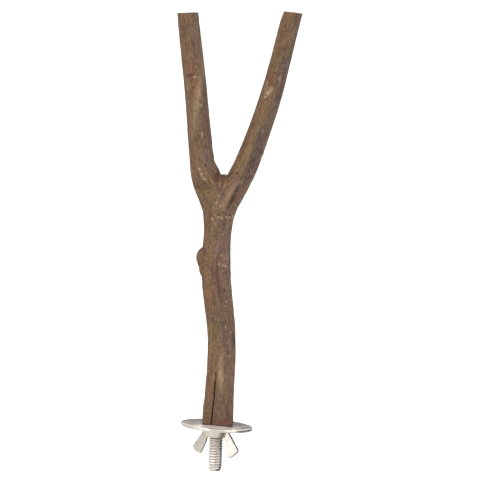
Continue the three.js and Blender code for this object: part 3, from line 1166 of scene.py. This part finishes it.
def wood_figure_group():
    """Streaks, mottling, speckle, hair lines and flecks, from coordinates along the grain."""
    names = ("Streaks", "Mottle", "Speckle", "Hair Lines", "Flecks", "Specks", "Fibres")
    group, start, end = new_group(
        "wood figure",
        [("Grain", "NodeSocketVector")],
        [(label, "NodeSocketFloat") for label in names],
    )
    along = start.outputs["Grain"]
    figure = (
        ("Streaks", (1, 1, 0.06), 0.6, 4.0, 0.6, 0.5, 0.30, 0.70),
        ("Mottle", (1, 1, 0.38), 0.42, 5.0, 0.62, 0.9, 0.32, 0.68),
        ("Speckle", (1, 1, 0.6), 1.7, 3.0, 0.6, 0.3, 0.30, 0.70),
        ("Hair Lines", (1, 1, 0.05), 3.2, 3.0, 0.6, 0.6, 0.60, 0.72),
        ("Flecks", (1, 1, 0.5), 1.5, 4.0, 0.75, 0.4, 0.58, 0.68),
        ("Specks", (1, 1, 0.45), 1.3, 4.0, 0.75, 0.6, 0.60, 0.70),
        ("Fibres", (1, 1, 0.08), 3.4, 4.0, 0.65, 0.2, 0.30, 0.70),
    )
    for shift, (label, stretch, scale, detail, roughness, bend, low, high) in enumerate(figure):
        moved = group.nodes.new("ShaderNodeVectorMath")
        moved.operation = "ADD"
        moved.inputs[1].default_value = (13.7 * shift, 5.1 * shift, 0)
        group.links.new(scaled(group, along, stretch), moved.inputs[0])
        value = noise(group, moved.outputs[0], scale, detail, roughness, bend)
        group.links.new(remap(group, value, low, high), end.inputs[label])
    return group


def zinc_coat_group():
    """Dull cloudy patches, fine scratches and pinholes of a bright zinc coat, from object coordinates."""
    group, start, end = new_group(
        "zinc coat",
        [("Vector", "NodeSocketVector")],
        [(label, "NodeSocketFloat") for label in ("Clouds", "Scratches", "Pinholes")],
    )
    place = start.outputs["Vector"]
    clouds = noise(group, place, 260.0, 4.0, 0.6, 0.4)
    group.links.new(remap(group, clouds, 0.35, 0.65), end.inputs["Clouds"])
    scratches = noise(group, scaled(group, place, (1, 1, 5)), 1400.0, 3.0, 0.6, 0.2)
    group.links.new(remap(group, scratches, 0.5, 0.7), end.inputs["Scratches"])
    pinholes = noise(group, place, 1900.0, 2.0, 0.5)
    group.links.new(remap(group, pinholes, 0.66, 0.74), end.inputs["Pinholes"])
    return group


def new_material(name):
    material = bpy.data.materials.new(name)
    material.use_nodes = True
    tree = material.node_tree
    tree.nodes.clear()
    shader = tree.nodes.new("ShaderNodeBsdfPrincipled")
    output = tree.nodes.new("ShaderNodeOutputMaterial")
    tree.links.new(shader.outputs["BSDF"], output.inputs["Surface"])
    return material, tree, shader


def weathered_wood(figure):
    """Peeled wood gone brown: its figure, stains, wear and dirt, painted shade at the crotch, and rings on
    the sawn ends.
    """
    material, tree, shader = new_material("weathered wood")
    looks = tree.nodes.new("ShaderNodeGroup")
    looks.node_tree = figure
    tree.links.new(attribute(tree, "grain", "Vector"), looks.inputs["Grain"])

    def share(value, amount):
        return maths(tree, "MULTIPLY", value, amount)

    olive = colour_mix(tree, looks.outputs["Streaks"], srgb(91, 69, 49), srgb(106, 83, 59))
    pink = colour_mix(tree, looks.outputs["Streaks"], srgb(88, 69, 55), srgb(101, 80, 63))
    wood = colour_mix(tree, attribute(tree, "tone"), olive, pink)
    wood = colour_mix(tree, 1.0, wood, attribute(tree, "wash", "Color"), "MULTIPLY")
    wood = colour_mix(tree, share(attribute(tree, "bark"), 0.3), wood, srgb(98, 70, 54))
    for label, low, high in (("Mottle", 0.82, 1.17), ("Speckle", 0.78, 1.22), ("Fibres", 0.90, 1.10)):
        shade = remap(tree, looks.outputs[label], 0.0, 1.0, low, high)
        wood = colour_mix(tree, 1.0, wood, shade, "MULTIPLY")
    wood = colour_mix(tree, share(looks.outputs["Hair Lines"], 0.42), wood, srgb(62, 44, 31))
    wood = colour_mix(tree, share(looks.outputs["Specks"], 0.44), wood, srgb(66, 44, 30))
    wood = colour_mix(tree, share(looks.outputs["Flecks"], 0.5), wood, srgb(172, 150, 126))
    wood = colour_mix(tree, share(attribute(tree, "red"), 0.7), wood, srgb(98, 60, 44))
    wood = colour_mix(tree, share(attribute(tree, "pale"), 0.7), wood, srgb(168, 144, 114))
    # The dark mask holds pits, checks, splits and other marks, and the painted shade on the limbs' inner
    # sides at the crotch.
    wood = colour_mix(tree, share(attribute(tree, "dark"), 0.85), wood, srgb(44, 25, 13))

    rings = tree.nodes.new("ShaderNodeMath")
    rings.operation = "SINE"
    tree.links.new(share(attribute(tree, "pith"), 7.5), rings.inputs[0])
    ring_tone = remap(tree, rings.outputs[0], -1.0, 1.0)
    sawn = colour_mix(tree, ring_tone, srgb(92, 70, 50), srgb(124, 99, 72))
    wood = colour_mix(tree, attribute(tree, "cut"), wood, sawn)
    tree.links.new(wood, shader.inputs["Base Color"])

    tree.links.new(remap(tree, looks.outputs["Mottle"], 0.0, 1.0, 0.76, 0.92), shader.inputs["Roughness"])
    shader.inputs["Specular IOR Level"].default_value = 0.3

    lift = maths(tree, "ADD", share(looks.outputs["Speckle"], 0.7), share(looks.outputs["Fibres"], 0.4))
    lift = maths(tree, "SUBTRACT", lift, looks.outputs["Hair Lines"])
    bump = tree.nodes.new("ShaderNodeBump")
    bump.inputs["Strength"].default_value = 0.7
    bump.inputs["Distance"].default_value = 0.09 * MM
    tree.links.new(lift, bump.inputs["Height"])
    tree.links.new(bump.outputs["Normal"], shader.inputs["Normal"])
    return material


def rubbed_patch(tree, place, clouds):
    """1 where the washer is rubbed by handling, in front of the foot, and 0 round it."""
    away = tree.nodes.new("ShaderNodeVectorMath")
    away.operation = "ADD"
    away.inputs[1].default_value = (0.001, 0.0105, 0.0)
    tree.links.new(place, away.inputs[0])
    size = tree.nodes.new("ShaderNodeVectorMath")
    size.operation = "LENGTH"
    tree.links.new(scaled(tree, away.outputs[0], (90.0, 190.0, 90.0)), size.inputs[0])
    ragged = maths(tree, "ADD", size.outputs["Value"], maths(tree, "MULTIPLY", clouds, 0.25))
    return remap(tree, ragged, 1.25, 0.7)


def zinc(name, coat, bright, dull, smooth, rough, relief, metallic=1.0, grooves=0.0, scuff=0.0):
    """A zinc coat, with painted shade, partly dirt, in the roots of the thread, or a scuffed patch, where
    they are asked for.
    """
    material, tree, shader = new_material(name)
    place = tree.nodes.new("ShaderNodeTexCoord")
    looks = tree.nodes.new("ShaderNodeGroup")
    looks.node_tree = coat
    tree.links.new(place.outputs["Object"], looks.inputs["Vector"])
    metal = colour_mix(tree, looks.outputs["Clouds"], bright, dull)
    holes = maths(tree, "MULTIPLY", looks.outputs["Pinholes"], 0.5)
    metal = colour_mix(tree, holes, metal, srgb(120, 112, 104))
    if grooves:
        # Painted shade, partly dirt: darker towards the thread's roots.
        groove_shade_and_dirt = maths(tree, "MULTIPLY", attribute(tree, "groove"), grooves)
        metal = colour_mix(tree, groove_shade_and_dirt, metal, srgb(134, 126, 120))
    tree.links.new(metal, shader.inputs["Base Color"])
    shader.inputs["Metallic"].default_value = metallic
    polish = remap(tree, looks.outputs["Clouds"], 0.0, 1.0, smooth, rough)
    if scuff:
        rubbed = rubbed_patch(tree, place.outputs["Object"], looks.outputs["Clouds"])
        worn = maths(tree, "MULTIPLY", rubbed, scuff)
        tree.links.new(maths(tree, "SUBTRACT", metallic, worn), shader.inputs["Metallic"])
        polish = maths(tree, "ADD", polish, maths(tree, "MULTIPLY", rubbed, 0.25))
    tree.links.new(polish, shader.inputs["Roughness"])
    lift = maths(tree, "SUBTRACT", looks.outputs["Clouds"], looks.outputs["Scratches"])
    bump = tree.nodes.new("ShaderNodeBump")
    bump.inputs["Strength"].default_value = 0.35
    bump.inputs["Distance"].default_value = relief * MM
    tree.links.new(lift, bump.inputs["Height"])
    tree.links.new(bump.outputs["Normal"], shader.inputs["Normal"])
    return material


def dress(piece, material):
    piece.data.materials.clear()
    piece.data.materials.append(material)


# ---------------------------------------------------------------- build the pieces
branch = branch_blank()
refine_along(branch, SPLIT_BAND, SPLIT_BAND_REACH)
carve(branch)
left = part_limb(branch, "left_limb", "left_branch")
right = part_limb(branch, "right_limb", "right_branch")
branch.name = "branch_stem"
figure = wood_figure_group()
wood = weathered_wood(figure)
for piece, node in ((branch, "stem"), (left, "left_limb"), (right, "right_limb")):
    close_holes(piece)
    shade_by_angle(piece, 45)
    dress(piece, wood)
    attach(piece, "branch")
    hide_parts(node)

coat = zinc_coat_group()
stud = threaded_stud()
# The thread's roots take painted shade, partly dirt.
rolled = zinc("rolled zinc", coat, srgb(238, 232, 226), srgb(226, 220, 214), 0.2, 0.28, 0.004, grooves=0.6)
dress(stud, rolled)
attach(stud, "branch")
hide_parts("hanger_bolt")

washer = rounded_washer()
light, dull = srgb(216, 207, 199), srgb(200, 190, 182)
dress(washer, zinc("pressed zinc", coat, light, dull, 0.12, 0.2, 0.0015, 0.88, scuff=0.4))
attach(washer, "washer")
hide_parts("washer")

nut = cast_wing_nut()
dress(nut, zinc("cast zinc", coat, srgb(229, 222, 211), srgb(217, 209, 198), 0.2, 0.3, 0.008))
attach(nut, "wing_nut")
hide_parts("wing_nut")


# ---------------------------------------------------------------- floor, light and camera
def stage_card(name, size, location, facing, material):
    put_down()
    bpy.ops.mesh.primitive_plane_add(size=1, location=location)
    card = bpy.context.object
    card.name = name
    card.scale = (size[0], size[1], 1)
    card.rotation_euler = Vector(facing).to_track_quat("Z", "Y").to_euler()
    card.data.materials.append(material)
    return card


def flag(name, size, location, facing, material):
    """A studio flag that shows only as a reflection in the metal."""
    card = stage_card(name, size, location, facing, material)
    card.visible_camera = False
    card.visible_diffuse = False
    card.visible_shadow = False


def plain(name, colour, roughness):
    material, tree, shader = new_material(name)
    shader.inputs["Base Color"].default_value = colour
    shader.inputs["Roughness"].default_value = roughness
    return material


def studio_sky():
    """Bright overhead, dimmer towards the horizon, as under a large soft box."""
    world = bpy.data.worlds.new("studio")
    bpy.context.scene.world = world
    world.use_nodes = True
    tree = world.node_tree
    place = tree.nodes.new("ShaderNodeTexCoord")
    split = tree.nodes.new("ShaderNodeSeparateXYZ")
    tree.links.new(place.outputs["Generated"], split.inputs[0])
    strength = remap(tree, split.outputs["Z"], 0.08, 0.5, SKY_HORIZON, SKY_OVERHEAD)
    sky = tree.nodes["Background"]
    sky.inputs["Color"].default_value = (1, 1, 1, 1)
    tree.links.new(strength, sky.inputs["Strength"])


studio_sky()
stage_card("floor", (60, 60), (0, 0, FLOOR_Z), (0, 0, 1), plain("pale floor", (0.92, 0.92, 0.92, 1), 0.9))
black = plain("dark card", (0.08, 0.08, 0.08, 1), 0.9)
grey = plain("grey card", (0.5, 0.49, 0.47, 1), 0.9)
dim = plain("dim card", (0.16, 0.15, 0.14, 1), 0.9)
flag("flag_front", (1.1, 0.26), (0.08, -1.7, -0.12), (0, 1, 0), black)
flag("flag_under", (0.8, 0.8), (0, -0.1, -0.21), (0, 0, 1), grey)
flag("flag_under_right", (1.4, 2.2), (0.75, 0.9, -0.2), (0, 0, 1), black)
flag("flag_under_left", (1.4, 2.2), (-0.75, 0.9, -0.2), (0, 0, 1), grey)
flag("flag_right", (3.0, 1.2), (1.4, 0.9, 0.4), (-1, 0, 0), black)
flag("flag_left", (2.6, 0.6), (-1.4, 1.1, 0.1), (1, 0, 0), grey)
flag("flag_back_right", (2.0, 0.86), (1.0, 3.0, 0.23), (0, -1, 0), black)
flag("flag_back_left", (2.0, 0.86), (-1.0, 3.0, 0.23), (0, -1, 0), dim)


def soft_light(name, location, size, power):
    data = bpy.data.lights.new(name, "AREA")
    data.shape = "SQUARE"
    data.size = size
    data.energy = power
    lamp = bpy.data.objects.new(name, data)
    bpy.context.scene.collection.objects.link(lamp)
    lamp.location = location
    towards = Vector((0, 0, 0.09)) - Vector(location)
    lamp.rotation_euler = towards.to_track_quat("-Z", "Y").to_euler()


soft_light("key", (-1.3, -1.4, 1.5), 1.2, 10.0)
soft_light("fill", (1.5, -1.2, 0.9), 1.2, 6.0)
soft_light("top", (0.1, 0.2, 2.2), 1.5, 10.0)


def look_through_camera():
    """A long lens in front of the perch, a little above it and rolled a little."""
    turn, pitch, roll = (math.radians(angle) for angle in (CAMERA_TURN, CAMERA_PITCH, CAMERA_ROLL))
    forward = Vector((math.sin(turn) * math.cos(pitch), math.cos(turn) * math.cos(pitch), -math.sin(pitch)))
    level_right = forward.cross(Vector((0, 0, 1))).normalized()
    level_up = level_right.cross(forward)
    right_way = level_right * math.cos(roll) + level_up * math.sin(roll)
    up_way = level_up * math.cos(roll) - level_right * math.sin(roll)
    data = bpy.data.cameras.new("camera")
    data.lens = LENS
    data.sensor_width = 36.0
    data.clip_start = 0.05
    data.clip_end = 60.0
    camera = bpy.data.objects.new("camera", data)
    bpy.context.scene.collection.objects.link(camera)
    turned = Matrix((right_way, up_way, -forward)).transposed()
    camera.matrix_world = Matrix.Translation(CAMERA_PLACE) @ turned.to_4x4()
    bpy.context.scene.camera = camera
    bpy.context.scene.view_settings.view_transform = "Standard"


look_through_camera()

put_down()
bpy.context.view_layer.update()
